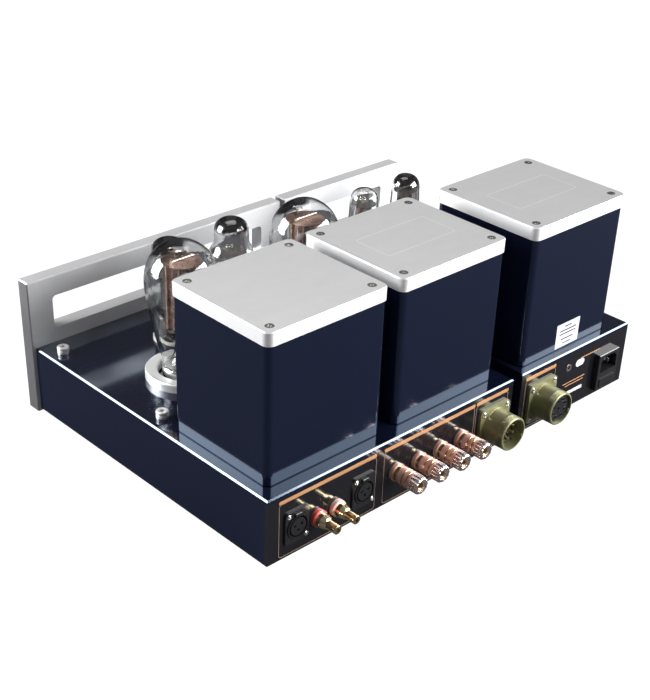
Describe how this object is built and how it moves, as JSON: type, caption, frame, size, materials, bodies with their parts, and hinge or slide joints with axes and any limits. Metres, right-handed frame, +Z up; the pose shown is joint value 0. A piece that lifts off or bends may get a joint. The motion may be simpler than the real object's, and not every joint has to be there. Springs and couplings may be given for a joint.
{
  "type": "two-chassis tube amplifier",
  "caption": "Valve amplifier with a separate power supply chassis, tall transformer covers, pull-out valves, windowed front panels and rear screw, phono, balanced and umbilical connectors.",
  "frame": {"origin": "middle of the bounding box in plan, on the surface that the feet stand on", "axes": "+Z up; the front panels face -Y and the connectors +Y; the amplifier unit is at +X and the power supply unit at -X"},
  "size_m": [0.4784, 0.374, 0.2125],
  "materials": {
    "navy_paint": "dark navy satin to gloss paint on aluminium",
    "black_panel": "gloss black panel with copper print lines",
    "brushed_aluminium": "thick brushed and clear anodised aluminium",
    "blasted_aluminium": "fine blasted and clear anodised aluminium",
    "bright_metal": "turned and polished metal",
    "steel_screw": "plated steel screws",
    "rubber_foot": "matt black rubber",
    "transformer_steel": "varnished laminations and taped winding",
    "ceramic": "glazed white ceramic",
    "circuit_board": "solder-masked board with sleeved parts",
    "capacitor_sleeve": "shrunk plastic sleeve",
    "black_plastic": "moulded black plastic",
    "gilt_metal": "gilt turned brass",
    "copper_cap": "copper-coloured turned metal under a clear jacket",
    "jack_insulator": "glossy coloured insulating plastic",
    "olive_metal": "olive drab plated aluminium shell",
    "tube_glass": "clear blown glass with a dark mirror getter at the crown",
    "tube_base": "moulded valve base with plated pins and metal electrodes"
  },
  "bodies": {
    "amplifier": {"amp_chassis": "navy_paint", "output_transformer_covers": "navy_paint", "amp_bottom_cover": "navy_paint", "amp_rear_panel": "black_panel", "amp_front_panel": "brushed_aluminium", "output_transformer_lids": "blasted_aluminium", "output_tube_collars": "bright_metal", "amp_cage_receptacles": "bright_metal", "amp_screws": "steel_screw", "amp_feet": "rubber_foot", "output_transformers": "transformer_steel", "amp_tube_sockets": "ceramic", "amplifier_board": "circuit_board", "xlr_sockets": "black_plastic", "amp_connector_insert": "black_plastic", "rca_jacks": "gilt_metal", "binding_post_stems": "gilt_metal", "rca_insulators": "jack_insulator", "binding_post_insulators": "jack_insulator", "amp_connector_shell": "olive_metal"},
    "output_tube_right": {"output_tube_right_glass": "tube_glass", "output_tube_right_base": "tube_base"},
    "output_tube_left": {"output_tube_left_glass": "tube_glass", "output_tube_left_base": "tube_base"},
    "driver_tube_right": {"driver_tube_right_glass": "tube_glass", "driver_tube_right_base": "tube_base"},
    "driver_tube_left": {"driver_tube_left_glass": "tube_glass", "driver_tube_left_base": "tube_base"},
    "rectifier_tube_right": {"rectifier_tube_right_glass": "tube_glass", "rectifier_tube_right_base": "tube_base"},
    "rectifier_tube_left": {"rectifier_tube_left_glass": "tube_glass", "rectifier_tube_left_base": "tube_base"},
    "post_washer_1": {"post_washer_1": "gilt_metal"},
    "post_cap_1": {"post_cap_1": "copper_cap"},
    "post_washer_2": {"post_washer_2": "gilt_metal"},
    "post_cap_2": {"post_cap_2": "copper_cap"},
    "post_washer_3": {"post_washer_3": "gilt_metal"},
    "post_cap_3": {"post_cap_3": "copper_cap"},
    "post_washer_4": {"post_washer_4": "gilt_metal"},
    "post_cap_4": {"post_cap_4": "copper_cap"},
    "xlr_latch_right": {"xlr_latch_right": "black_plastic"},
    "xlr_latch_left": {"xlr_latch_left": "black_plastic"},
    "fuse_drawer": {"fuse_drawer": "black_plastic"},
    "power_button": {"power_button": "bright_metal"},
    "power_supply": {"psu_chassis": "navy_paint", "psu_rear_panel": "black_panel", "psu_bottom_cover": "navy_paint", "psu_front_panel": "brushed_aluminium", "psu_feet": "rubber_foot", "psu_screws": "steel_screw", "power_transformer_cover": "navy_paint", "power_transformer_lid": "blasted_aluminium", "power_transformer": "transformer_steel", "filter_choke": "transformer_steel", "filter_capacitors": "capacitor_sleeve", "rectifier_tube_sockets": "ceramic", "psu_connector_shell": "olive_metal", "psu_connector_insert": "black_plastic", "mains_inlet": "black_plastic", "power_switch": "black_plastic"}
  },
  "joints": [
    {"name": "power_supply_placement", "type": "slide", "parent": "amplifier", "child": "power_supply", "axis": [-1, 0, 0], "range_m": [0, 0.3]},
    {"name": "output_tube_right_pull", "type": "slide", "parent": "amplifier", "child": "output_tube_right", "axis": [0, 0, 1], "range_m": [0, 0.06]},
    {"name": "output_tube_left_pull", "type": "slide", "parent": "amplifier", "child": "output_tube_left", "axis": [0, 0, 1], "range_m": [0, 0.06]},
    {"name": "driver_tube_right_pull", "type": "slide", "parent": "amplifier", "child": "driver_tube_right", "axis": [0, 0, 1], "range_m": [0, 0.04]},
    {"name": "driver_tube_left_pull", "type": "slide", "parent": "amplifier", "child": "driver_tube_left", "axis": [0, 0, 1], "range_m": [0, 0.04]},
    {"name": "rectifier_tube_right_pull", "type": "slide", "parent": "power_supply", "child": "rectifier_tube_right", "axis": [0, 0, 1], "range_m": [0, 0.04]},
    {"name": "rectifier_tube_left_pull", "type": "slide", "parent": "power_supply", "child": "rectifier_tube_left", "axis": [0, 0, 1], "range_m": [0, 0.04]},
    {"name": "post_washer_1_slide", "type": "slide", "parent": "amplifier", "child": "post_washer_1", "axis": [0, 1, 0], "range_m": [0, 0.006]},
    {"name": "post_cap_1_turn", "type": "hinge", "parent": "post_washer_1", "child": "post_cap_1", "pos_m": [0.08925, 0.176, 0.0395], "axis": [0, 1, 0], "range_deg": [0, 2161]},
    {"name": "post_washer_2_slide", "type": "slide", "parent": "amplifier", "child": "post_washer_2", "axis": [0, 1, 0], "range_m": [0, 0.006]},
    {"name": "post_cap_2_turn", "type": "hinge", "parent": "post_washer_2", "child": "post_cap_2", "pos_m": [0.06175, 0.176, 0.0395], "axis": [0, 1, 0], "range_deg": [0, 2161]},
    {"name": "post_washer_3_slide", "type": "slide", "parent": "amplifier", "child": "post_washer_3", "axis": [0, 1, 0], "range_m": [0, 0.006]},
    {"name": "post_cap_3_turn", "type": "hinge", "parent": "post_washer_3", "child": "post_cap_3", "pos_m": [0.03425, 0.176, 0.0395], "axis": [0, 1, 0], "range_deg": [0, 2161]},
    {"name": "post_washer_4_slide", "type": "slide", "parent": "amplifier", "child": "post_washer_4", "axis": [0, 1, 0], "range_m": [0, 0.006]},
    {"name": "post_cap_4_turn", "type": "hinge", "parent": "post_washer_4", "child": "post_cap_4", "pos_m": [0.00675, 0.176, 0.0395], "axis": [0, 1, 0], "range_deg": [0, 2161]},
    {"name": "xlr_latch_right_press", "type": "slide", "parent": "amplifier", "child": "xlr_latch_right", "axis": [0, -1, 0], "range_m": [0, 0.0012], "stiffness_N_per_m": 800, "springref_m": -0.001},
    {"name": "xlr_latch_left_press", "type": "slide", "parent": "amplifier", "child": "xlr_latch_left", "axis": [0, -1, 0], "range_m": [0, 0.0012], "stiffness_N_per_m": 800, "springref_m": -0.001},
    {"name": "fuse_drawer_pull", "type": "slide", "parent": "power_supply", "child": "fuse_drawer", "axis": [0, 1, 0], "range_m": [0, 0.018]},
    {"name": "power_button_press", "type": "slide", "parent": "power_supply", "child": "power_button", "axis": [0, 1, 0], "range_m": [0, 0.003], "stiffness_N_per_m": 600, "springref_m": -0.001}
  ],
  "couplings": [
    {"joint": "post_cap_1_turn", "follows": "post_washer_1_slide", "rad_per_m": 6283.2},
    {"joint": "post_cap_2_turn", "follows": "post_washer_2_slide", "rad_per_m": 6283.2},
    {"joint": "post_cap_3_turn", "follows": "post_washer_3_slide", "rad_per_m": 6283.2},
    {"joint": "post_cap_4_turn", "follows": "post_washer_4_slide", "rad_per_m": 6283.2}
  ]
}
